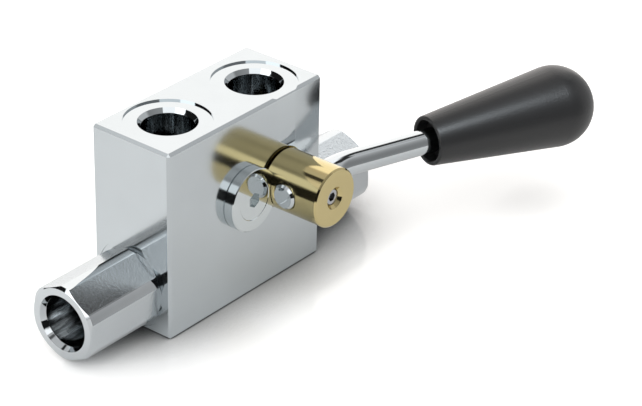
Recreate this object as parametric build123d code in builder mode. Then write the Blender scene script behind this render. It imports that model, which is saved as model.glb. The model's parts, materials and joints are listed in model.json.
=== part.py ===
from build123d import *
import os
from math import asin, atan2, cos, degrees, hypot, radians, sin, sqrt, tan

# Double non-return valve. A steel block holds two pilot-opened checks in its lower bore,
# a hexagonal port fitting screws into each end of that bore, and a brass cock, turned by
# a hand lever, shuts the passage from the right-hand top port.
# Millimetres. +X runs along the block towards the hand lever's knob, the front face looks
# along -Y, and +Z is up. The origin is the centre of the face that the block stands on.

# Block
block_length = 80.0
block_depth = 35.0
block_height = 72.0
block_edge = 1.0

# Pipe thread of the four ports: radii of its crests in the wall and of its core.
# Each mouth is countersunk from the one radius to the other.
port_thread_r = 10.48
port_core_r = 9.32

# Top ports
port_spacing = 42.0
right_port_setback = 2.5
port_spotface_r = 15.5
port_spotface_depth = 0.6
port_mouth_depth = 1.7
port_depth = 15.0
passage_r = 4.0

# Lower bore, from the middle outwards
main_z = 16.0
centre_bore_r = 8.0
bush_bore_r = 9.2
bush_shoulder = 23.0
thread_runout = 0.3
seal_pocket_r = 12.0
seal_pocket_depth = 2.7
end_spotface_r = 15.9
end_spotface_depth = 0.3

# Clearances
thread_clearance = 0.03
running_clearance = 0.03
press_clearance = 0.02
seal_clearance = 0.02
closed_gap = 0.03

# Seat bush
bush_length = 6.2
seat_hole_r = 4.5
seat_bevel = 1.0
bush_groove_offset = 2.0
bush_groove_width = 2.2
bush_groove_depth = 1.5

# Port fitting
fitting_reach = 34.4
hex_across_flats = 26.4
hex_corner_r = 14.3
hex_mouth_r = 13.05
hex_root_r = 13.3
hex_turn = 5.0
mouth_bevel_angle = 30.0
root_bevel_angle = 54.0
fitting_mouth_depth = 2.0
fitting_port_depth = 16.0
fitting_passage_r = 4.5
nose_r = 9.0
nose_length = 1.8
neck_r = 9.3
poppet_chamber_r = 7.4
poppet_chamber_length = 17.8
fitting_seal_r = 1.25

# Check poppet and its spring
poppet_tip_r = 1.5
poppet_waist_r = 6.3
poppet_waist_length = 5.0
poppet_skirt_length = 8.0
poppet_hollow_r = 3.9
poppet_hollow_wall = 2.0
poppet_pocket_r = 5.9
poppet_pocket_depth = 7.0
poppet_port_r = 1.7
poppet_ports = 4
spring_wire_r = 0.5
spring_r = 5.2
spring_turns = 5.0

# Pilot piston
piston_half_length = 9.0
piston_edge = 0.5
piston_groove_width = 2.0
piston_groove_depth = 1.4
piston_stem_r = 2.2
piston_float = 1.5

# Cock
spindle_x = 18.8
spindle_z = 40.0
spindle_r = 11.0
spindle_depth = 28.0
spindle_reach = 23.9
spindle_edge = 0.6
spindle_end_gap = 0.3
spindle_bore_edge = 0.4
spindle_groove_width = 2.4
spindle_groove_depth = 1.8
front_groove_depth_in = 4.0
rear_groove_from_end = 2.3

# Slot at the foot of the cock, which the retaining disc's lip runs in
lip_thickness = 1.0
lip_clearance = 0.1
slot_root_r = 7.4
lever_travel = 90.0
stop_clearance = 0.5

# Retaining disc and its countersunk screw
disc_offset = 19.4
disc_r = 11.7
disc_thickness = 4.0
disc_scallop_clearance = 0.25
disc_edge = 0.3
screw_head_r = 7.5
screw_shank_r = 4.0
screw_length = 16.0
screw_head_recess = 0.15
screw_hex = 5.0
screw_hex_depth = 2.8
tapping_depth = 2.0

# Hand lever
lever_y_from_face = 10.0
lever_r = 4.6
lever_stub = 0.7
lever_chamfer = 0.8
lever_bend_x = 38.0
lever_bend_angle = 19.3
lever_bend_r = 30.0
lever_straight = 37.7
lever_hole_clearance = 0.05
lever_hole_edge = 0.5
lever_seat_depth = 0.3

# Set screw that clamps the lever
set_screw_r = 3.0
set_screw_recess = 1.4
set_screw_hex = 3.0
set_screw_hex_depth = 3.0
set_screw_countersink_r = 4.2
set_screw_edge = 0.3

# Knob and its threaded insert
knob_length = 71.3
knob_small_r = 9.2
knob_large_r = 15.3
knob_rim = 0.6
knob_recess_r = 7.6
knob_recess_depth = 5.0
insert_r = 6.2
insert_length = 20.0
insert_set_in = 4.0
lever_thread_r = 3.95
lever_thread_length = 18.0
insert_end_gap = 1.0

# Places that follow from the sizes above
front_y = -block_depth / 2
end_face = block_length / 2
fitting_root = end_face - end_spotface_depth
fitting_mouth = end_face + fitting_reach
seal_pocket_floor = fitting_root - seal_pocket_depth
port_floor_z = block_height - port_depth
port_centres = [(-port_spacing / 2, 0), (port_spacing / 2, -right_port_setback)]
passage_centres = [(-spindle_x, 0), (spindle_x, 0)]
bush_end = bush_shoulder + bush_length
nose_end = bush_end + nose_length
chamber_end = bush_end + poppet_chamber_length
main_centre = Vector(0, 0, main_z)

sides = {"left": -1, "right": 1}


def main_plane(side):
    """Half-section plane of the lower bore: local x runs outwards, local y is the radius."""
    return Plane(origin=main_centre, x_dir=(side, 0, 0), z_dir=(0, -side, 0))


def main_axis(side):
    return Axis(main_centre, (side, 0, 0))


def across_main(side, distance):
    """Plane across the lower bore at a distance from its middle, facing outwards."""
    return Plane(origin=(side * distance, 0, main_z), x_dir=(0, 1, 0), z_dir=(side, 0, 0))


def across_spindle(y):
    """Plane across the cock's axis, facing out of the front face."""
    return Plane(origin=(spindle_x, y, spindle_z), x_dir=(1, 0, 0), z_dir=(0, -1, 0))


def o_ring(plane, inner_r, outer_r):
    """Round-section ring that fills the gap from inner_r to outer_r."""
    section_r = (outer_r - inner_r) / 2
    with BuildPart(plane) as ring:
        Torus(inner_r + section_r, section_r)
    return ring


def export(piece, name):
    piece.part.label = name
    export_step(piece.part, f"parts/{name}.step")


os.makedirs("parts", exist_ok=True)

# Block: ports from the top, the lower bore from both ends and the cock's bore from the front
spindle_bore_r = spindle_r + running_clearance
disc_x = spindle_x - disc_offset
screw_hole_depth = screw_length - disc_thickness + tapping_depth
thread_start = bush_end + thread_runout
with BuildPart() as valve_block:
    with BuildSketch():
        Rectangle(block_length, block_depth)
    extrude(amount=block_height)
    chamfer(valve_block.edges(), block_edge)
    with BuildSketch(Plane.XY.offset(block_height - port_spotface_depth)):
        with Locations(*port_centres):
            Circle(port_spotface_r)
    extrude(amount=2 * port_spotface_depth, mode=Mode.SUBTRACT)
    with Locations(*[(x, y, block_height - port_spotface_depth) for x, y in port_centres]):
        Cone(
            bottom_radius=port_core_r,
            top_radius=port_thread_r,
            height=port_mouth_depth,
            align=(Align.CENTER, Align.CENTER, Align.MAX),
            mode=Mode.SUBTRACT,
        )
    with BuildSketch(Plane.XY.offset(port_floor_z)):
        with Locations(*port_centres):
            Circle(port_core_r)
    extrude(amount=port_depth, mode=Mode.SUBTRACT)
    with BuildSketch(Plane.XY.offset(main_z)):
        with Locations(*passage_centres):
            Circle(passage_r)
    extrude(amount=port_floor_z - main_z, mode=Mode.SUBTRACT)
    for side in sides.values():
        with BuildSketch(main_plane(side)):
            with BuildLine():
                Polyline(
                    (0, 0),
                    (0, centre_bore_r),
                    (bush_shoulder, centre_bore_r),
                    (bush_shoulder, bush_bore_r),
                    (thread_start, bush_bore_r),
                    (thread_start, port_thread_r),
                    (seal_pocket_floor, port_thread_r),
                    (seal_pocket_floor, seal_pocket_r),
                    (fitting_root, seal_pocket_r),
                    (fitting_root, end_spotface_r),
                    (end_face + end_spotface_depth, end_spotface_r),
                    (end_face + end_spotface_depth, 0),
                    close=True,
                )
            make_face()
        revolve(axis=main_axis(side), mode=Mode.SUBTRACT)
    with BuildSketch(across_spindle(front_y)):
        Circle(spindle_bore_r)
    extrude(amount=-spindle_depth - spindle_end_gap, mode=Mode.SUBTRACT)
    chamfer(valve_block.edges(Select.LAST).sort_by(Axis.Y)[0], spindle_bore_edge)
    with BuildSketch(Plane(origin=(disc_x, front_y, spindle_z), z_dir=(0, -1, 0))):
        Circle(screw_shank_r + thread_clearance)
    extrude(amount=-screw_hole_depth, mode=Mode.SUBTRACT)
export(valve_block, "valve_block")

# Port fittings: a hexagonal body with turned corners, a threaded shank and a stepped bore
mouth_bevel = (hex_corner_r - hex_mouth_r) * tan(radians(mouth_bevel_angle))
root_bevel = (hex_corner_r - hex_root_r) * tan(radians(root_bevel_angle))
shank_r = port_thread_r - thread_clearance
port_floor = fitting_mouth - fitting_port_depth
floor_cone = port_core_r - fitting_passage_r
for name, side in sides.items():
    with BuildPart() as fitting:
        with BuildSketch(across_main(side, fitting_root)):
            RegularPolygon(hex_across_flats / 2, 6, major_radius=False, rotation=30 - hex_turn)
        extrude(amount=fitting_mouth - fitting_root)
        with BuildSketch(main_plane(side)):
            with BuildLine():
                Polyline(
                    (fitting_root, 0),
                    (fitting_root, hex_root_r),
                    (fitting_root + root_bevel, hex_corner_r),
                    (fitting_mouth - mouth_bevel, hex_corner_r),
                    (fitting_mouth, hex_mouth_r),
                    (fitting_mouth, 0),
                    close=True,
                )
            make_face()
        revolve(axis=main_axis(side), mode=Mode.INTERSECT)
        with BuildSketch(main_plane(side)):
            with BuildLine():
                Polyline(
                    (bush_end, 0),
                    (bush_end, nose_r),
                    (nose_end, nose_r),
                    (nose_end, shank_r),
                    (seal_pocket_floor, shank_r),
                    (seal_pocket_floor, neck_r),
                    (fitting_root, neck_r),
                    (fitting_root, 0),
                    close=True,
                )
            make_face()
        revolve(axis=main_axis(side))
        with BuildSketch(main_plane(side)):
            with BuildLine():
                Polyline(
                    (bush_end, 0),
                    (bush_end, poppet_chamber_r),
                    (chamber_end, poppet_chamber_r),
                    (chamber_end, fitting_passage_r),
                    (port_floor - floor_cone, fitting_passage_r),
                    (port_floor, port_core_r),
                    (fitting_mouth - fitting_mouth_depth, port_core_r),
                    (fitting_mouth, port_thread_r),
                    (fitting_mouth, 0),
                    close=True,
                )
            make_face()
        revolve(axis=main_axis(side), mode=Mode.SUBTRACT)
    export(fitting, f"{name}_port_fitting")

# Ring seal under each hexagon, in the pocket round the fitting's neck
for name, side in sides.items():
    seal_plane = across_main(side, fitting_root - fitting_seal_r)
    seal = o_ring(seal_plane, neck_r, neck_r + 2 * fitting_seal_r)
    export(seal, f"{name}_fitting_seal")

# Seat bushes: each is held against its shoulder by the nose of its fitting
bush_r = bush_bore_r - press_clearance
bush_groove_r = bush_r - bush_groove_depth
bush_groove_start = bush_shoulder + bush_groove_offset
bush_groove_end = bush_groove_start + bush_groove_width
for name, side in sides.items():
    with BuildPart() as bush:
        with BuildSketch(main_plane(side)):
            with BuildLine():
                Polyline(
                    (bush_shoulder, seat_hole_r),
                    (bush_shoulder, bush_r),
                    (bush_groove_start, bush_r),
                    (bush_groove_start, bush_groove_r),
                    (bush_groove_end, bush_groove_r),
                    (bush_groove_end, bush_r),
                    (bush_end, bush_r),
                    (bush_end, seat_hole_r + seat_bevel),
                    (bush_end - seat_bevel, seat_hole_r),
                    close=True,
                )
            make_face()
        revolve(axis=main_axis(side))
    export(bush, f"{name}_seat_bush")
    ring_plane = across_main(side, (bush_groove_start + bush_groove_end) / 2)
    ring = o_ring(ring_plane, bush_groove_r, bush_bore_r - seal_clearance)
    export(ring, f"{name}_seat_o_ring")

# Check poppets: a cone on the seat, a drilled waist and a hollow skirt guided in the fitting
tip_from_seat = seat_hole_r - poppet_tip_r
poppet_tip = bush_end - seat_bevel - tip_from_seat + closed_gap
cone_end = poppet_tip + poppet_waist_r - poppet_tip_r
waist_end = cone_end + poppet_waist_length
poppet_end = waist_end + poppet_skirt_length
pocket_floor = poppet_end - poppet_pocket_depth
hollow_floor = cone_end - poppet_hollow_wall
skirt_r = poppet_chamber_r - running_clearance
for name, side in sides.items():
    with BuildPart() as poppet:
        with BuildSketch(main_plane(side)):
            with BuildLine():
                Polyline(
                    (poppet_tip, 0),
                    (poppet_tip, poppet_tip_r),
                    (cone_end, poppet_waist_r),
                    (waist_end, poppet_waist_r),
                    (waist_end, skirt_r),
                    (poppet_end, skirt_r),
                    (poppet_end, poppet_pocket_r),
                    (pocket_floor, poppet_pocket_r),
                    (pocket_floor, poppet_hollow_r),
                    (hollow_floor + poppet_hollow_r, poppet_hollow_r),
                    (hollow_floor, 0),
                    close=True,
                )
            make_face()
        revolve(axis=main_axis(side))
        with BuildSketch(Plane(origin=(side * (cone_end + waist_end) / 2, 0, main_z))):
            Circle(poppet_port_r)
        port_drill = extrude(amount=skirt_r, both=True, mode=Mode.PRIVATE)
        for turn in range(poppet_ports // 2):
            add(port_drill.rotate(main_axis(side), turn * 360 / poppet_ports), mode=Mode.SUBTRACT)
    export(poppet, f"{name}_check_poppet")

# Check springs: from the floor of the poppet's pocket to the end of the fitting's chamber
spring_start = pocket_floor + spring_wire_r
spring_height = chamber_end - spring_wire_r - spring_start
for name, side in sides.items():
    with BuildPart() as spring:
        with BuildLine() as coil:
            Helix(
                spring_height / spring_turns,
                spring_height,
                spring_r,
                center=(side * spring_start, 0, main_z),
                direction=(side, 0, 0),
            )
        with BuildSketch(Plane(coil.line @ 0, z_dir=coil.line % 0)):
            Circle(spring_wire_r)
        sweep(path=coil.line, is_frenet=True)
    export(spring, f"{name}_check_spring")

# Pilot piston: a grooved body with a stem each way, which stops short of the closed poppets
piston_r = centre_bore_r - running_clearance
piston_groove_r = piston_r - piston_groove_depth
stem_end = poppet_tip - piston_float
with BuildPart() as pilot_piston:
    with BuildSketch(main_plane(1)):
        with BuildLine():
            Polyline(
                (-stem_end, 0),
                (-stem_end, piston_stem_r),
                (-piston_half_length, piston_stem_r),
                (-piston_half_length, piston_r - piston_edge),
                (piston_edge - piston_half_length, piston_r),
                (-piston_groove_width / 2, piston_r),
                (-piston_groove_width / 2, piston_groove_r),
                (piston_groove_width / 2, piston_groove_r),
                (piston_groove_width / 2, piston_r),
                (piston_half_length - piston_edge, piston_r),
                (piston_half_length, piston_r - piston_edge),
                (piston_half_length, piston_stem_r),
                (stem_end, piston_stem_r),
                (stem_end, 0),
                close=True,
            )
        make_face()
    revolve(axis=main_axis(1))
export(pilot_piston, "pilot_piston")

piston_seal = o_ring(across_main(1, 0), piston_groove_r, centre_bore_r - seal_clearance)
export(piston_seal, "piston_seal")

# Cock spindle: the cross hole lies level when the lever is level, which shuts the passage
spindle_tip_y = front_y - spindle_reach
spindle_inner_y = front_y + spindle_depth
lever_y = front_y - lever_y_from_face
lever_hole_r = lever_r + lever_hole_clearance
slot_front_y = front_y - lip_thickness - lip_clearance
slot_back_y = front_y + lip_clearance
overlap_x = (disc_offset**2 + spindle_r**2 - disc_r**2) / (2 * disc_offset)
overlap_angle = degrees(asin(sqrt(spindle_r**2 - overlap_x**2) / spindle_r))
slot_end_angle = 180 + overlap_angle + stop_clearance
slot_start_angle = 180 - overlap_angle - stop_clearance - lever_travel
front_groove_y = front_y + front_groove_depth_in
rear_groove_y = spindle_inner_y - rear_groove_from_end
spindle_groove_r = spindle_r - spindle_groove_depth
with BuildPart() as cock_spindle:
    with BuildSketch(across_spindle(spindle_tip_y)):
        Circle(spindle_r)
    extrude(amount=-spindle_reach - spindle_depth)
    chamfer(cock_spindle.edges().sort_by(Axis.Y)[0], spindle_edge)
    chamfer(cock_spindle.edges().sort_by(Axis.Y)[-1], spindle_edge)
    for groove_y in (front_groove_y, rear_groove_y):
        with BuildSketch(across_spindle(groove_y)):
            Circle(spindle_r)
            Circle(spindle_groove_r, mode=Mode.SUBTRACT)
        extrude(amount=spindle_groove_width / 2, both=True, mode=Mode.SUBTRACT)
    # Slot for the disc's lip: its two ends stop the lever level and upright
    with BuildSketch(across_spindle(slot_back_y)):
        with BuildLine():
            outer = CenterArc((0, 0), 2 * spindle_r, slot_start_angle, slot_end_angle - slot_start_angle)
            inner = CenterArc((0, 0), slot_root_r, slot_start_angle, slot_end_angle - slot_start_angle)
            Line(outer @ 0, inner @ 0)
            Line(outer @ 1, inner @ 1)
        make_face()
    extrude(amount=slot_back_y - slot_front_y, mode=Mode.SUBTRACT)
    # Cross hole for the oil
    with BuildSketch(Plane(origin=(spindle_x, 0, spindle_z), z_dir=(1, 0, 0))):
        Circle(passage_r)
    extrude(amount=spindle_r, both=True, mode=Mode.SUBTRACT)
    # Cross hole for the lever, with broken edges
    with BuildSketch(Plane(origin=(spindle_x, lever_y, spindle_z), z_dir=(1, 0, 0))):
        Circle(lever_hole_r)
    extrude(amount=spindle_r, both=True, mode=Mode.SUBTRACT)
    chamfer(cock_spindle.edges(Select.LAST), lever_hole_edge)
    # Threaded hole for the set screw, countersunk in the end face
    with Locations(across_spindle(spindle_tip_y)):
        CounterSinkHole(
            radius=set_screw_r + thread_clearance,
            counter_sink_radius=set_screw_countersink_r,
            depth=lever_y - spindle_tip_y,
            counter_sink_angle=90,
        )
export(cock_spindle, "cock_spindle")

for name, groove_y in (("front", front_groove_y), ("rear", rear_groove_y)):
    ring = o_ring(across_spindle(groove_y), spindle_groove_r, spindle_bore_r - seal_clearance)
    export(ring, f"spindle_{name}_o_ring")

# Retaining disc: scalloped round the cock in front, with a full-width lip in the cock's slot
disc_plane = Plane(origin=(disc_x, front_y, spindle_z), z_dir=(0, -1, 0))
screw_cone = screw_head_r - screw_shank_r
with BuildPart() as retaining_disc:
    with BuildSketch(disc_plane):
        Circle(disc_r)
    extrude(amount=disc_thickness)
    chamfer(retaining_disc.edges().sort_by(Axis.Y)[0], disc_edge)
    chamfer(retaining_disc.edges().sort_by(Axis.Y)[-1], disc_edge)
    with Locations(disc_plane.offset(disc_thickness)):
        CounterSinkHole(
            radius=screw_shank_r + press_clearance,
            counter_sink_radius=screw_head_r + press_clearance,
            depth=disc_thickness,
            counter_sink_angle=90,
        )
    with BuildSketch(across_spindle(front_y - lip_thickness)):
        Circle(spindle_r + disc_scallop_clearance)
    extrude(amount=disc_thickness, mode=Mode.SUBTRACT)
export(retaining_disc, "retaining_disc")

# The screw's head lies just under the disc's face, so its radius there follows the countersink
disc_front = Vector(disc_x, front_y - disc_thickness, spindle_z)
with BuildPart() as retaining_screw:
    with BuildSketch(Plane(origin=disc_front, x_dir=(0, 1, 0), z_dir=(1, 0, 0))):
        with BuildLine():
            Polyline(
                (screw_head_recess, 0),
                (screw_head_recess, screw_head_r - screw_head_recess),
                (screw_cone, screw_shank_r),
                (screw_length, screw_shank_r),
                (screw_length, 0),
                close=True,
            )
        make_face()
    revolve(axis=Axis(disc_front, (0, 1, 0)))
    with BuildSketch(disc_plane.offset(disc_thickness - screw_head_recess)):
        RegularPolygon(screw_hex / 2, 6, major_radius=False)
    extrude(amount=-screw_hex_depth, mode=Mode.SUBTRACT)
export(retaining_screw, "retaining_screw")

# Hand lever: a round rod through the cock, bent forwards, with a threaded end in the knob
lever_start_x = spindle_x - spindle_r - lever_stub
bend = radians(lever_bend_angle)
lever_dir = Vector(cos(bend), -sin(bend), 0)
bend_point = Vector(lever_bend_x, lever_y, spindle_z)
knob_start = bend_point + lever_dir * lever_straight
insert_start = knob_recess_depth + insert_set_in
thread_shoulder = bend_point + lever_dir * (lever_straight + insert_start)
seat_y = lever_y - lever_r + lever_seat_depth
with BuildPart() as lever_rod:
    with BuildLine() as rod_path:
        FilletPolyline(
            (lever_start_x, lever_y, spindle_z),
            bend_point,
            thread_shoulder,
            radius=lever_bend_r,
        )
    with BuildSketch(Plane(rod_path.line @ 0, z_dir=rod_path.line % 0)):
        Circle(lever_r)
    sweep(path=rod_path.line)
    chamfer(lever_rod.edges().sort_by(Axis.X)[0], lever_chamfer)
    with BuildSketch(Plane(thread_shoulder, z_dir=lever_dir)):
        Circle(lever_thread_r)
    extrude(amount=lever_thread_length)
    with BuildSketch(across_spindle(seat_y)):
        Circle(set_screw_r + thread_clearance)
    extrude(amount=lever_r, mode=Mode.SUBTRACT)
export(lever_rod, "lever_rod")

# Set screw: a hexagon-socket grub screw that bears on the flat seat in the lever
set_screw_plane = across_spindle(spindle_tip_y + set_screw_recess)
set_screw_length = seat_y - spindle_tip_y - set_screw_recess
with BuildPart() as lever_set_screw:
    with BuildSketch(set_screw_plane):
        Circle(set_screw_r)
    extrude(amount=-set_screw_length)
    chamfer(lever_set_screw.edges().group_by(Axis.Y)[0], set_screw_edge)
    with BuildSketch(set_screw_plane):
        RegularPolygon(set_screw_hex / 2, 6, major_radius=False)
    extrude(amount=-set_screw_hex_depth, mode=Mode.SUBTRACT)
export(lever_set_screw, "lever_set_screw")

# Knob: a cone that runs into a ball end, hollow at its small end, moulded round its insert
knob_plane = Plane(knob_start, x_dir=lever_dir, z_dir=lever_dir.cross(Vector(0, 0, 1)))
knob_axis = Axis(knob_start, lever_dir)
ball_centre = knob_length - knob_large_r
ball_distance = hypot(ball_centre, knob_small_r)
flank_angle = asin(knob_large_r / ball_distance) - atan2(knob_small_r, ball_centre)
flank_length = sqrt(ball_distance**2 - knob_large_r**2)
flank_end = (flank_length * cos(flank_angle), knob_small_r + flank_length * sin(flank_angle))
insert_end = insert_start + insert_length
with BuildPart() as lever_knob:
    with BuildSketch(knob_plane) as knob_profile:
        with BuildLine():
            Line((0, knob_small_r), flank_end)
            TangentArc(flank_end, (knob_length, 0), tangent=(cos(flank_angle), sin(flank_angle)))
            Polyline(
                (knob_length, 0),
                (insert_end + insert_end_gap, 0),
                (insert_end + insert_end_gap, lever_thread_r + thread_clearance),
                (insert_end, lever_thread_r + thread_clearance),
                (insert_end, insert_r),
                (insert_start, insert_r),
                (insert_start, lever_hole_r),
                (knob_recess_depth, lever_hole_r),
                (knob_recess_depth, knob_recess_r),
                (0, knob_recess_r),
                (0, knob_small_r),
            )
        make_face()
        fillet(knob_profile.vertices().group_by(Axis.X)[0], knob_rim)
    revolve(axis=knob_axis)
export(lever_knob, "lever_knob")

with BuildPart() as knob_insert:
    with BuildSketch(knob_plane):
        with BuildLine():
            Polyline(
                (insert_start, lever_thread_r + thread_clearance),
                (insert_start, insert_r - press_clearance),
                (insert_end, insert_r - press_clearance),
                (insert_end, lever_thread_r + thread_clearance),
                close=True,
            )
        make_face()
    revolve(axis=knob_axis)
export(knob_insert, "knob_insert")
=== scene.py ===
# %% [markdown]
# # A double non-return valve in bright steel and brass
# The pieces of the valve arrive finished in shape: a steel block, two hexagonal port fittings, a brass cock
# with its retaining disc, a bent lever and a plastic knob, and the checks inside. Nothing here moves or
# resizes them. What is made here is how each surface was worked, and the studio that those surfaces mirror.
# That second half matters as much as the first, because polished metal has hardly a colour of its own.

import json
import math

import bmesh
import bpy
from mathutils import Matrix, Vector


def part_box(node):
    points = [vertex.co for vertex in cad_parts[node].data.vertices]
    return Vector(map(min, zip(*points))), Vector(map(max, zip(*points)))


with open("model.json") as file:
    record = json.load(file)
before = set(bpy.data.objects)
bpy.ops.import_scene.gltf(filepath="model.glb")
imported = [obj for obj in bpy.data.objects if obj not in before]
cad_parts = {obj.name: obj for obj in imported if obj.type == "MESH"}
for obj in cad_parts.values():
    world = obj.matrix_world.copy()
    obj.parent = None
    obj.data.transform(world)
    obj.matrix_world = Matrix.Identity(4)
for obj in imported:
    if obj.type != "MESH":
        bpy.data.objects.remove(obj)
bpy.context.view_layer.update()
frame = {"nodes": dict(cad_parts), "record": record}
nodes = frame["nodes"]

# %% [markdown]
# ## The camera
# A picture of a block is nearly a measuring tool: its straight edges fix where the camera stood. Here it
# stood to the left of the front face and well above it, far enough away for a long lens. The same place
# could be reached by pointing a camera at the block and nudging it, but writing the two angles and the
# small roll keeps the picture's geometry readable.

# %% Place the camera
camera_place = Vector((-0.5743, -0.5072, 0.4638))
camera_azimuth = math.radians(-51.49)
camera_elevation = math.radians(29.45)
camera_roll = math.radians(1.28)
focal_length = 140.25
nearest_seen, farthest_seen = 0.01, 50

level_part = math.cos(camera_elevation)
backwards = Vector(
    (
        math.sin(camera_azimuth) * level_part,
        -math.cos(camera_azimuth) * level_part,
        math.sin(camera_elevation),
    )
)
rightwards = (-backwards).cross(Vector((0, 0, 1))).normalized()
upwards = rightwards.cross(-backwards)
turn = Matrix.Rotation(camera_roll, 3, backwards)
rightwards, upwards = turn @ rightwards, turn @ upwards

camera = bpy.data.objects.new("camera", bpy.data.cameras.new("camera"))
camera.data.lens = focal_length
camera.data.clip_start, camera.data.clip_end = nearest_seen, farthest_seen
camera_axes = Matrix((rightwards, upwards, backwards)).transposed()
camera.matrix_world = Matrix.Translation(camera_place) @ camera_axes.to_4x4()
bpy.context.scene.collection.objects.link(camera)
bpy.context.scene.camera = camera
bpy.context.scene.view_settings.view_transform = "Standard"
print("camera looks along", [round(part, 3) for part in -backwards])

# %% [markdown]
# ## Writing shader maths as plain expressions
# Node trees are easy to draw and hard to read as code. A Signal below wraps one output socket, so that
# `0.2 + 0.05 * grain` adds the two Math nodes that it names. A Tree makes any other node from its type, its
# settings and the values or links of its sockets. Everything after this cell is written with those two.


# %% Define signals and trees
class Signal:
    """One output socket, which Python's arithmetic signs can combine with numbers and other signals."""

    def __init__(self, tree, socket):
        self.tree, self.socket = tree, socket

    def sum_with(self, operation, first, second=0.0):
        return self.tree.node("ShaderNodeMath", {"operation": operation}, {0: first, 1: second})

    def __add__(self, other):
        return self.sum_with("ADD", self, other)

    def __sub__(self, other):
        return self.sum_with("SUBTRACT", self, other)

    def __rsub__(self, other):
        return self.sum_with("SUBTRACT", other, self)

    def __mul__(self, other):
        return self.sum_with("MULTIPLY", self, other)

    def __truediv__(self, other):
        return self.sum_with("DIVIDE", self, other)

    def __pow__(self, other):
        return self.sum_with("POWER", self, other)

    def __abs__(self):
        return self.sum_with("ABSOLUTE", self)

    __radd__, __rmul__ = __add__, __mul__


class Tree:
    """The node tree of a material or of the world."""

    def __init__(self, owner):
        owner.use_nodes = True
        self.nodes, self.links = owner.node_tree.nodes, owner.node_tree.links
        self.nodes.clear()

    def node(self, kind, settings=None, inputs=None, output=0):
        made = self.nodes.new(kind)
        for name, value in (settings or {}).items():
            setattr(made, name, value)
        for name, value in (inputs or {}).items():
            if isinstance(value, Signal):
                self.links.new(value.socket, made.inputs[name])
            else:
                made.inputs[name].default_value = value
        return Signal(self, made.outputs[output]) if made.outputs else made

    def blend(self, share, first, second):
        """The first colour where share is 0, and the second where it is 1."""
        return self.node("ShaderNodeMix", {"data_type": "RGBA"}, {0: share, 6: first, 7: second}, output=2)

    def step(self, value, start, end):
        """0 up to start and 1 from end on, with a smooth change between."""
        return self.node(
            "ShaderNodeMapRange",
            {"interpolation_type": "SMOOTHSTEP"},
            {"Value": value, "From Min": start, "From Max": end},
        )


# %% [markdown]
# ## The studio that the metal mirrors
# A polished flank shows whatever lies in the direction that it throws a ray. So the look of this valve is
# mostly a map of bright and dark directions. That map could be lamps and cards around the valve. Written as
# a function of direction in the world it costs nothing, and each card can be moved by itself. A direction
# is given here as a photographer would point at it: how far round, and how high above the horizon.

# %% Measure each direction
world = bpy.data.worlds.new("studio")
bpy.context.scene.world = world
studio = Tree(world)

direction = studio.node("ShaderNodeTexCoord")
parts = studio.node("ShaderNodeSeparateXYZ", inputs={"Vector": direction})
east, north, rise = (Signal(studio, socket) for socket in parts.socket.node.outputs)
around = studio.node("ShaderNodeMath", {"operation": "ARCTAN2"}, {0: 0 - east, 1: north})
above = studio.node("ShaderNodeMath", {"operation": "ARCSINE"}, {0: rise})

# Degrees round from +X towards +Y, with the seam at -Y, and degrees above the horizon
degrees_per_radian = 180 / math.pi
heading = 90 + degrees_per_radian * around
height = degrees_per_radian * above
print("nodes for heading and height:", len(studio.nodes))

# %% [markdown]
# ## The room and its cards
# In front of the valve lies a dim room, which brightens towards its ceiling and its sides. Round the rest
# stand a warm white wall behind the valve on the right, a white window on the left and a black gap between
# the two. Each line below lays one card over what is there already: its strength, how far round it reaches,
# how high it reaches, and how soft its edge is, all three in degrees. The order counts, because a later
# card covers an earlier one.

# %% Lay out the studio
sky_grey = 0.66
room_low, room_high = 0.29, 0.74
room_level = 14
room_reach = 46
ceiling_bend = 2.5
ceiling_edge = 8
sides_brighten = (30, 50)
room_ends = (40, 50)

wall_white = 1.5
window_white = 2.6
corner_pale = 0.9
gap_black = 0.012
card_dark = 0.04
hall_dim = 0.13


def panel(under, strength, headings, heights, softness):
    """Lays a soft-edged rectangle of one strength over what is under it."""
    share = 1.0
    for value, (low, high) in ((heading, headings), (height, heights)):
        off_centre = abs(value - (low + high) / 2)
        half = (high - low) / 2
        share = share * (1 - studio.step(off_centre, half - softness / 2, half + softness / 2))
    return under * (1 - share) + strength * share


# The dim room lies across the seam. It is darkest straight ahead and a little above the horizon
from_seam = 180 - abs(heading - 90)
off_level = abs(height - room_level)
towards_ceiling = (off_level / room_reach) ** ceiling_bend
lightened = 1 - (1 - towards_ceiling) * (1 - studio.step(from_seam, *sides_brighten))
room = room_low + (room_high - room_low) * lightened
below_ceiling = 1 - studio.step(off_level, room_reach, room_reach + ceiling_edge)
in_room = (1 - studio.step(from_seam, *room_ends)) * below_ceiling
mirrored = sky_grey * (1 - in_room) + room * in_room
# The dark horizon behind the camera, with the bright band over it
mirrored = panel(mirrored, gap_black, (203, 253), (-8, 23), 3)
mirrored = panel(mirrored, wall_white, (188, 243), (24, 44), 3)
# White wall, white window and the black gap between them
mirrored = panel(mirrored, wall_white, (-8, 20), (41, 50), 4)
mirrored = panel(mirrored, corner_pale, (121, 143), (38, 48), 3)
mirrored = panel(mirrored, wall_white, (15, 77), (-30, 51), 4)
mirrored = panel(mirrored, window_white, (149, 190), (-30, 45), 3)
mirrored = panel(mirrored, gap_black, (77, 149), (-30, 33), 3)
# Dark cards high on the right, over the wall, over the gap and over the camera's shoulder
mirrored = panel(mirrored, card_dark, (-38, -8), (41, 58), 4)
mirrored = panel(mirrored, card_dark, (-12, 24), (52, 61), 3)
mirrored = panel(mirrored, card_dark, (100, 119), (50, 59), 3)
mirrored = panel(mirrored, hall_dim, (206, 240), (51, 60), 4)
print("nodes after the last card:", len(studio.nodes))

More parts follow.
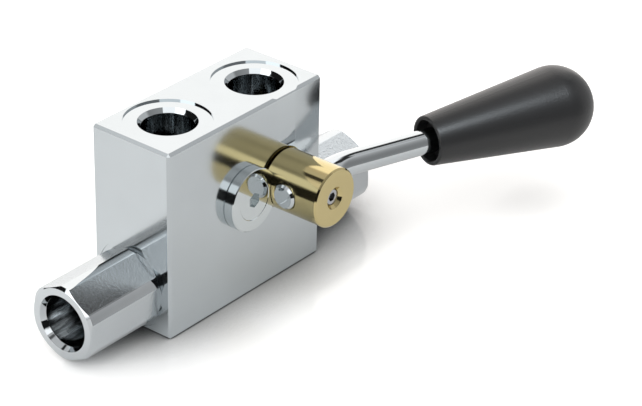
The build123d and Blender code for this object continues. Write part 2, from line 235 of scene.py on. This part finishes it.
# %% [markdown]
# ## White for the camera
# A catalogue picture has a white background, and a studio with a black gap in it would spoil that from low
# down. The Light Path node tells rays apart, so the camera gets plain white, as does anything seen through
# glass, while the metal mirrors the studio. The wall's warm tint covers its own headings only.

# %% Light the world
wall_warms, wall_cools = (5, 20), (74, 80)
neutral_tint, warm_tint = (1, 1, 1, 1), (1.02, 0.985, 0.955, 1)

light_path = studio.node("ShaderNodeLightPath").socket.node.outputs
plain_white = Signal(studio, light_path["Is Camera Ray"]) + Signal(studio, light_path["Is Transmission Ray"])
strength = plain_white + (1 - plain_white) * mirrored
on_wall = studio.step(heading, *wall_warms) * (1 - studio.step(heading, *wall_cools))
tint = studio.blend(on_wall * (1 - plain_white), neutral_tint, warm_tint)
background = studio.node("ShaderNodeBackground", inputs={"Color": tint, "Strength": strength})
studio.node("ShaderNodeOutputWorld", inputs={"Surface": background})
print("studio nodes:", len(studio.nodes))

# %% [markdown]
# ## The paper's lamp
# A wide lamp over the camera's shoulder draws the valve's soft shadow on the paper. A narrow one would draw
# a hard edge. It is hidden from mirrored rays, because the studio above already says what the metal shows.


# %% Hang the lamp
def area_lamp(name, heading_degrees, height_degrees, distance, side, power):
    """A square lamp that looks at the valve from the given direction."""
    turned, raised = math.radians(heading_degrees), math.radians(height_degrees)
    level_part = math.cos(raised)
    towards = Vector((math.cos(turned) * level_part, math.sin(turned) * level_part, math.sin(raised)))
    lamp = bpy.data.objects.new(name, bpy.data.lights.new(name, "AREA"))
    lamp.data.size, lamp.data.energy = side, power
    lamp.location = distance * towards
    lamp.rotation_euler = towards.to_track_quat("Z", "Y").to_euler()
    bpy.context.scene.collection.objects.link(lamp)
    return lamp


paper_lamp = area_lamp("paper_lamp", 235, 48, distance=0.9, side=1.4, power=3.7)
paper_lamp.visible_glossy = False
print("paper lamp hangs at", [round(part, 2) for part in paper_lamp.location])

# %% [markdown]
# ## The floor
# The valve stands on white paper with a slight gloss. What ties it to the ground is the dark corner between
# paper and steel, where hardly any light arrives. The Ambient Occlusion node deepens that corner beyond
# what the lamp gives, and it lets go where the left fitting hangs clear of the paper. A camera is exposed
# until open paper is just white, so the paper is lighter for camera rays than for the metal that mirrors
# it. For mirrored rays the paper also ends a forearm's length away, where the studio's dark horizon begins.

# %% Name the paper's values
floor_half_side = 6.0
contact_reach = 0.028
contact_power = 1.5
contact_samples = 8
fitting_hangs_clear = (-0.085, -0.02)
paper_for_camera = 1.28
# Painted shade and light: the paper as the metal mirrors it is darker in front of the valve than behind it
paper_shaded_in_front, paper_lit_behind = 0.86, 1.06
paper_shade_lifts = (-0.02, 0.04)
paper_blue = 0.995
paper_gloss = 0.08
paper_gloss_roughness = 0.1
mirrored_paper_edge = (0.24, 0.36)
print("mirrored paper ends between", mirrored_paper_edge, "m")


# %% Lay the floor
def flat_sheet(name, half_side):
    mesh = bpy.data.meshes.new(name)
    shape = bmesh.new()
    signs = ((-1, -1), (1, -1), (1, 1), (-1, 1))
    shape.faces.new([shape.verts.new((x * half_side, y * half_side, 0)) for x, y in signs])
    shape.to_mesh(mesh)
    shape.free()
    sheet = bpy.data.objects.new(name, mesh)
    bpy.context.scene.collection.objects.link(sheet)
    return sheet


def mixed(share, first, second):
    """The number first where share is 0, and second where it is 1."""
    return first * (1 - share) + second * share


def distance_from(first, first_centre, second, second_centre):
    across, along = first - first_centre, second - second_centre
    return (across * across + along * along) ** 0.5


floor = flat_sheet("floor", floor_half_side)
floor_paper = bpy.data.materials.new("glossy_white_paper")
paper = Tree(floor_paper)
openness = paper.node(
    "ShaderNodeAmbientOcclusion", {"samples": contact_samples}, {"Distance": contact_reach}, output=1
)
paper_path = paper.node("ShaderNodeLightPath").socket.node.outputs
seen_directly = Signal(paper, paper_path["Is Camera Ray"]) + Signal(paper, paper_path["Is Transmission Ray"])
spot = paper.node("ShaderNodeSeparateXYZ", inputs={"Vector": paper.node("ShaderNodeTexCoord", output=3)})
spot_x, spot_y = (Signal(paper, spot.socket.node.outputs[axis]) for axis in (0, 1))

# Painted shade in front and painted light behind, in the paper's colour for mirrored rays
paper_for_metal = mixed(paper.step(spot_y, *paper_shade_lifts), paper_shaded_in_front, paper_lit_behind)
exposure = mixed(seen_directly, paper_for_metal, paper_for_camera)
grounded = paper.step(spot_x, *fitting_hangs_clear)
contact = openness ** (contact_power * seen_directly * grounded)
paper_level = exposure * contact
paper_colour = paper.node(
    "ShaderNodeCombineXYZ", inputs={0: paper_level, 1: paper_level, 2: paper_blue * paper_level}
)
diffuse = paper.node("ShaderNodeBsdfDiffuse", inputs={"Color": paper_colour})
gloss_level = paper_gloss * seen_directly
gloss_colour = paper.node("ShaderNodeCombineXYZ", inputs={0: gloss_level, 1: gloss_level, 2: gloss_level})
sheen = paper.node("ShaderNodeBsdfGlossy", inputs={"Color": gloss_colour, "Roughness": paper_gloss_roughness})
paper_surface = paper.node("ShaderNodeAddShader", inputs={0: diffuse, 1: sheen})

seen_in_metal = Signal(paper, paper_path["Is Glossy Ray"])
beyond = seen_in_metal * paper.step(distance_from(spot_x, 0, spot_y, 0), *mirrored_paper_edge)
see_through = paper.node("ShaderNodeBsdfTransparent")
paper_end = paper.node("ShaderNodeMixShader", inputs={0: beyond, 1: paper_surface, 2: see_through})
paper.node("ShaderNodeOutputMaterial", inputs={"Surface": paper_end})
floor.data.materials.append(floor_paper)
print("paper nodes:", len(paper.nodes))

# %% [markdown]
# ## Places on the valve
# Every tool leaves its marks round its own axis, so a finish needs to know how far a point lies from the
# port, the cock or the bore that was cut there. The mounts in the valve's record give the ports' axes, and
# the boxes of the turned pieces give theirs. Object coordinates are used throughout: they turn with a
# moving piece's own surface.


# %% Measure places for the finishes
def place_of(tree):
    """A surface point in millimetres, in the valve's own frame, as three signals."""
    point = tree.node("ShaderNodeTexCoord", output=3)
    split = tree.node("ShaderNodeSeparateXYZ", inputs={"Vector": point})
    return [1000 * Signal(tree, socket) for socket in split.socket.node.outputs]


def facing_along_x(tree):
    """How far the surface looks along the bore's axis, from 0 to 1."""
    normal = tree.node("ShaderNodeTexCoord", output=1)
    return abs(tree.node("ShaderNodeSeparateXYZ", inputs={"Vector": normal}))


def centre_mm(node):
    low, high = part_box(node)
    return [500 * (a + b) for a, b in zip(low, high)]


mounts = {mount["name"]: mount for mount in frame["record"]["mounts"]}
top_ports = [[1000 * part for part in mounts[name]["pos_m"]] for name in ("left_top_port", "right_top_port")]
port_core = mounts["left_top_port"]["dims"]["r_mm"]
bore_height = 1000 * mounts["left_end_port"]["pos_m"][2]
cock_centre = centre_mm("cock_spindle")
disc_centre = centre_mm("retaining_disc")
print("port axes:", top_ports, "cock:", [round(part, 1) for part in cock_centre])

# %% [markdown]
# ## Marks that a tool leaves
# Noise becomes a tool mark when it is drawn out along the tool's path. Turned faces get rings, drawn bars
# get long lines, and a tumbled or rolled skin gets the same grain every way. Real marks could be cut into
# the mesh, but they are far smaller than its faces. Heights are written in micrometres, the scale of a real
# surface, and the noise by how many grains it has in a millimetre.


# %% Define the marks
def streaks(tree, place, stretch, detail=2.0):
    """Noise drawn out along the axes in which stretch is small. It lies between 0 and 1."""
    scaled = [part * scale for part, scale in zip(place, stretch)]
    point = tree.node("ShaderNodeCombineXYZ", inputs=dict(enumerate(scaled)))
    return tree.node("ShaderNodeTexNoise", inputs={"Vector": point, "Scale": 1.0, "Detail": detail})


def even_grain(tree, place, per_mm, detail=2.0):
    return streaks(tree, place, (per_mm, per_mm, per_mm), detail)


fine_per_mm = 9.0
drawn_out = 0.12


def tool_rings(tree, from_axis, along_axis):
    return streaks(tree, (from_axis, along_axis), (fine_per_mm, fine_per_mm))


print("finest marks:", round(1000 / fine_per_mm), "micrometres apart")

# %% [markdown]
# ## A worked metal
# Every metal piece shares one recipe: a colour with faint cloudy stains, a roughness that the same stains
# change a little, and marks whose height bumps the surface. What differs between them is how they were
# worked, so that is handed in as a function of its own, called the skin.

# %% Define worked metal
micrometre = 0.000001
stains_per_mm = 0.09
stain_darkness = 0.93
stain_roughness = 0.03
black = (0, 0, 0, 1)


def metal(name, colour, skin):
    """The function skin gives a roughness, marks' height in micrometres and a share of black: painted shade.
    """
    finish = bpy.data.materials.new(name)
    tree = Tree(finish)
    place = place_of(tree)
    roughness, height, shade = skin(tree, place)
    bump = tree.node("ShaderNodeBump", inputs={"Height": height, "Distance": micrometre, "Strength": 1.0})
    cloud = even_grain(tree, place, stains_per_mm, detail=3.0)
    stained = tuple(stain_darkness * part for part in colour)
    clean = tree.blend(cloud, (*stained, 1), (*colour, 1))
    surface = tree.node(
        "ShaderNodeBsdfPrincipled",
        inputs={
            # The share of black darkens the colour as painted shade
            "Base Color": tree.blend(shade, clean, black),
            "Metallic": 1.0,
            "Roughness": roughness + stain_roughness * (cloud - 0.5),
            "Normal": bump,
        },
    )
    tree.node("ShaderNodeOutputMaterial", inputs={"Surface": surface})
    return finish


def dress(finish, *names):
    for name in names:
        piece = nodes[name]
        piece.data.materials.clear()
        piece.data.materials.append(finish)
    print(finish.name, "on", ", ".join(names))


# %% [markdown]
# ## The block
# The block is ground, tumbled and then plated, which leaves a satin skin of tiny pits, while its ports were
# cut with turning tools and stay mirror bright. One roughness for the whole block would lose that, so the
# finish blends a satin skin with a turned one by the distance from each port's axis. Inside the ports are
# threads, so fine here that they only smear a reflection, and painted shade darkens their colour in
# stripes down the bore.

# %% Dress the block
satin_roughness = 0.125
mirror_roughness = 0.05
port_roughness = 0.09
pits_per_mm, pit_height = 2.4, 2
ring_height = 0.5
port_threads_per_mm, port_thread_height = 6.0, 14
across_thread = 0.02
spotface_reach = 15.6
spotface_edge = 0.1
core_edge = (0.02, 0.06)
ports_begin = (50, 51)
# Painted shade: how far the port walls' colour is darkened towards black, in stripes down the bore
bore_painted_shade = 0.6
shade_stripe_stretch = (0.45, 0.02)
shade_stripe_edge = (0.42, 0.58)


def block_skin(tree, place):
    """Satin outside, mirror bright where the top ports were turned, and threaded inside them."""
    x, y, z = place
    from_left, from_right = (distance_from(x, port[0], y, port[1]) for port in top_ports)
    from_port = tree.node("ShaderNodeMath", {"operation": "MINIMUM"}, {0: from_left, 1: from_right})
    high_up = tree.step(z, *ports_begin)
    turned = (1 - tree.step(from_port, spotface_reach, spotface_reach + spotface_edge)) * high_up
    threaded = (1 - tree.step(from_port, *(port_core + edge for edge in core_edge))) * high_up
    pits = pit_height * even_grain(tree, place, pits_per_mm)
    rings = ring_height * tool_rings(tree, from_port, z)
    threads = streaks(tree, (across_thread * x, across_thread * y, z), (1.0, 1.0, port_threads_per_mm))
    around_port, down_port = shade_stripe_stretch
    # Painted shade in stripes on the threaded walls inside the top ports
    shaded_stripe = tree.step(streaks(tree, place, (around_port, around_port, down_port)), *shade_stripe_edge)
    roughness = mixed(threaded, mixed(turned, satin_roughness, mirror_roughness), port_roughness)
    height = mixed(threaded, mixed(turned, pits, rings), port_thread_height * threads)
    return roughness, height, bore_painted_shade * shaded_stripe * threaded


steel = (0.59, 0.63, 0.652)
dress(metal("plated_block", steel, block_skin), "valve_block")

# %% [markdown]
# ## The port fittings
# They are made from drawn hexagon bar, which keeps the grain of its rolling on the flats. Only the ends and
# the rounded corners were turned, and those shine. The turned parts are found by where the surface looks
# along the bar or lies as far out as the lathe's tool, so no piece has to be cut in two to have two
# finishes.

# %% Dress the port fittings
bar_roughness = 0.2
mouth_roughness = 0.12
bar_grains_per_mm, bar_grain_height = 1.3, 55
mouth_threads_per_mm, mouth_thread_height = 3.0, 25
turned_corner_r = 14.3
corner_edge = (-0.12, -0.06)
end_edge = (0.02, 0.05)


def hexagon_skin(tree, place):
    """Satin along the bar, mirror bright where the ends were turned, and threaded in the port."""
    x, y, z = place
    from_axis = distance_from(y, 0, z, bore_height)
    end = tree.step(facing_along_x(tree), *end_edge)
    corner = tree.step(from_axis, *(turned_corner_r + edge for edge in corner_edge))
    turned = tree.node("ShaderNodeMath", {"operation": "MAXIMUM"}, {0: end, 1: corner})
    threaded = 1 - tree.step(from_axis, *(port_core + edge for edge in core_edge))
    grain = bar_grain_height * even_grain(tree, place, bar_grains_per_mm)
    rings = ring_height * tool_rings(tree, from_axis, x)
    threads = streaks(tree, (x, across_thread * y, across_thread * z), (mouth_threads_per_mm, 1.0, 1.0))
    around_port, down_port = shade_stripe_stretch
    # Painted shade in stripes on the threaded walls inside the fitting's port
    shaded_stripe = tree.step(streaks(tree, place, (down_port, around_port, around_port)), *shade_stripe_edge)
    roughness = mixed(threaded, mixed(turned, bar_roughness, mirror_roughness), mouth_roughness)
    height = mixed(threaded, mixed(turned, grain, rings), mouth_thread_height * threads)
    return roughness, height, bore_painted_shade * shaded_stripe * threaded


bright_steel = (0.625, 0.66, 0.682)
dress(metal("plated_hexagon", bright_steel, hexagon_skin), "left_port_fitting", "right_port_fitting")

# %% [markdown]
# ## Rod, disc and screws
# A drawn rod has fine lines along its length, and a turned disc has fine circles round its middle. Both are
# so fine that they hardly show by themselves, but they smear a highlight across the lines. An anisotropic
# shader could do that too. Marks in the bump also hold from close by, and need no direction set on the
# mesh.

# %% Dress the rod, the disc and the screws
scratch_height = 1.5


def drawn_along_x(roughness):
    """Fine lines along the length of a drawn or ground bar."""

    def skin(tree, place):
        lines = streaks(tree, place, (drawn_out, fine_per_mm, fine_per_mm))
        return roughness, scratch_height * lines, 0.0

    return skin


def turned_about(centre, roughness):
    """Tool marks in circles round an axis that runs along Y."""

    def skin(tree, place):
        x, y, z = place
        circles = tool_rings(tree, distance_from(x, centre[0], z, centre[2]), y)
        return roughness, scratch_height * circles, 0.0

    return skin


disc_steel = (0.67, 0.71, 0.72)
oiled_steel = (0.5, 0.51, 0.53)
dress(metal("bright_rod", bright_steel, drawn_along_x(0.06)), "lever_rod")
dress(metal("turned_disc", disc_steel, turned_about(disc_centre, 0.05)), "retaining_disc", "retaining_screw")
dress(metal("set_screw_steel", oiled_steel, turned_about(cock_centre, 0.15)), "lever_set_screw")

# %% [markdown]
# ## Brass
# The cock is turned from brass bar. A yellow paint would stay yellow wherever it faces. Brass is a mirror
# that swallows blue light, so what matters is the ratio of its three values, and its brightness comes from
# the studio as steel's does.

# %% Dress the brass
brass = (0.635, 0.53, 0.27)
dress(metal("turned_brass", brass, turned_about(cock_centre, 0.1)), "cock_spindle")
dress(metal("insert_brass", brass, drawn_along_x(0.25)), "knob_insert")

# %% [markdown]
# ## Pieces inside
# They show only if someone opens the valve or looks down a port. They could stay plain grey, but they are
# finished as the real ones are: ground hardened steel for what seals or slides, dark drawn wire for the
# springs, and smooth black rubber.


# %% Dress the inner pieces
def on_both_sides(*pieces):
    return [f"{side}_{piece}" for side in ("left", "right") for piece in pieces]


hardened_grey = (0.5, 0.51, 0.52)
wire_grey = (0.36, 0.36, 0.38)
ground = metal("hardened_steel", hardened_grey, drawn_along_x(0.22))
dress(ground, "pilot_piston", *on_both_sides("seat_bush", "check_poppet"))
dress(metal("spring_wire", wire_grey, drawn_along_x(0.3)), *on_both_sides("check_spring"))

# %% [markdown]
# ## Moulded pieces
# Rubber and plastic copy the fine grain of their mould. The recipe is close to the metal's, with grain in
# place of tool marks, but its own function is easier to read than one with both kinds of surface in it.

# %% Dress the seals
moulded_clouds_per_mm = 0.08
cloud_lightness = 1.12
cloud_roughness = 0.05


def moulded(name, colour, roughness, grains_per_mm, grain_height):
    """Plastic or rubber with the fine grain that its mould leaves, of a height in micrometres."""
    finish = bpy.data.materials.new(name)
    tree = Tree(finish)
    place = place_of(tree)
    grain = even_grain(tree, place, grains_per_mm, detail=3.0)
    cloud = even_grain(tree, place, moulded_clouds_per_mm, detail=3.0)
    bump = tree.node(
        "ShaderNodeBump", inputs={"Height": grain, "Distance": grain_height * micrometre, "Strength": 1.0}
    )
    lighter = tuple(cloud_lightness * part for part in colour)
    surface = tree.node(
        "ShaderNodeBsdfPrincipled",
        inputs={
            "Base Color": tree.blend(cloud, (*colour, 1), (*lighter, 1)),
            "Roughness": roughness + cloud_roughness * (cloud - 0.5),
            "Normal": bump,
        },
    )
    tree.node("ShaderNodeOutputMaterial", inputs={"Surface": surface})
    return finish


rubber_black = (0.02, 0.02, 0.02)
rubber = moulded("seal_rubber", rubber_black, 0.5, grains_per_mm=5.0, grain_height=10)
dress(rubber, "piston_seal", "spindle_front_o_ring", "spindle_rear_o_ring")
dress(rubber, *on_both_sides("fitting_seal", "seat_o_ring"))

# %% [markdown]
# ## The knob
# A moulded black knob is not black in a picture: it is a dark grey with a long soft sheen, because its
# satin skin scatters what it mirrors. That sheen comes from a small lamp high in front, which is linked to
# the knob alone. On the polished metal the same lamp would be a hard white stripe. Roughness sets how wide
# the sheen is, and the mould's grain breaks it up a little.

# %% Dress the knob
knob_black = (0.011, 0.011, 0.0115)
knob = moulded("satin_black_plastic", knob_black, 0.34, grains_per_mm=1.6, grain_height=60)
dress(knob, "lever_knob")

lit_by_sheen_lamp = bpy.data.collections.new("lit_by_sheen_lamp")
lit_by_sheen_lamp.objects.link(nodes["lever_knob"])
sheen_lamp = area_lamp("sheen_lamp", -88, 57, distance=0.9, side=0.2, power=4.0)
sheen_lamp.data.color = (0.86, 0.94, 1.0)
sheen_lamp.light_linking.receiver_collection = lit_by_sheen_lamp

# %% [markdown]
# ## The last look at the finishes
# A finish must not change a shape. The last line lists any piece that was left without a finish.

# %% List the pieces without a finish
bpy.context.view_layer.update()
undressed = [name for name, piece in nodes.items() if not piece.data.materials]
print("pieces without a finish:", undressed)
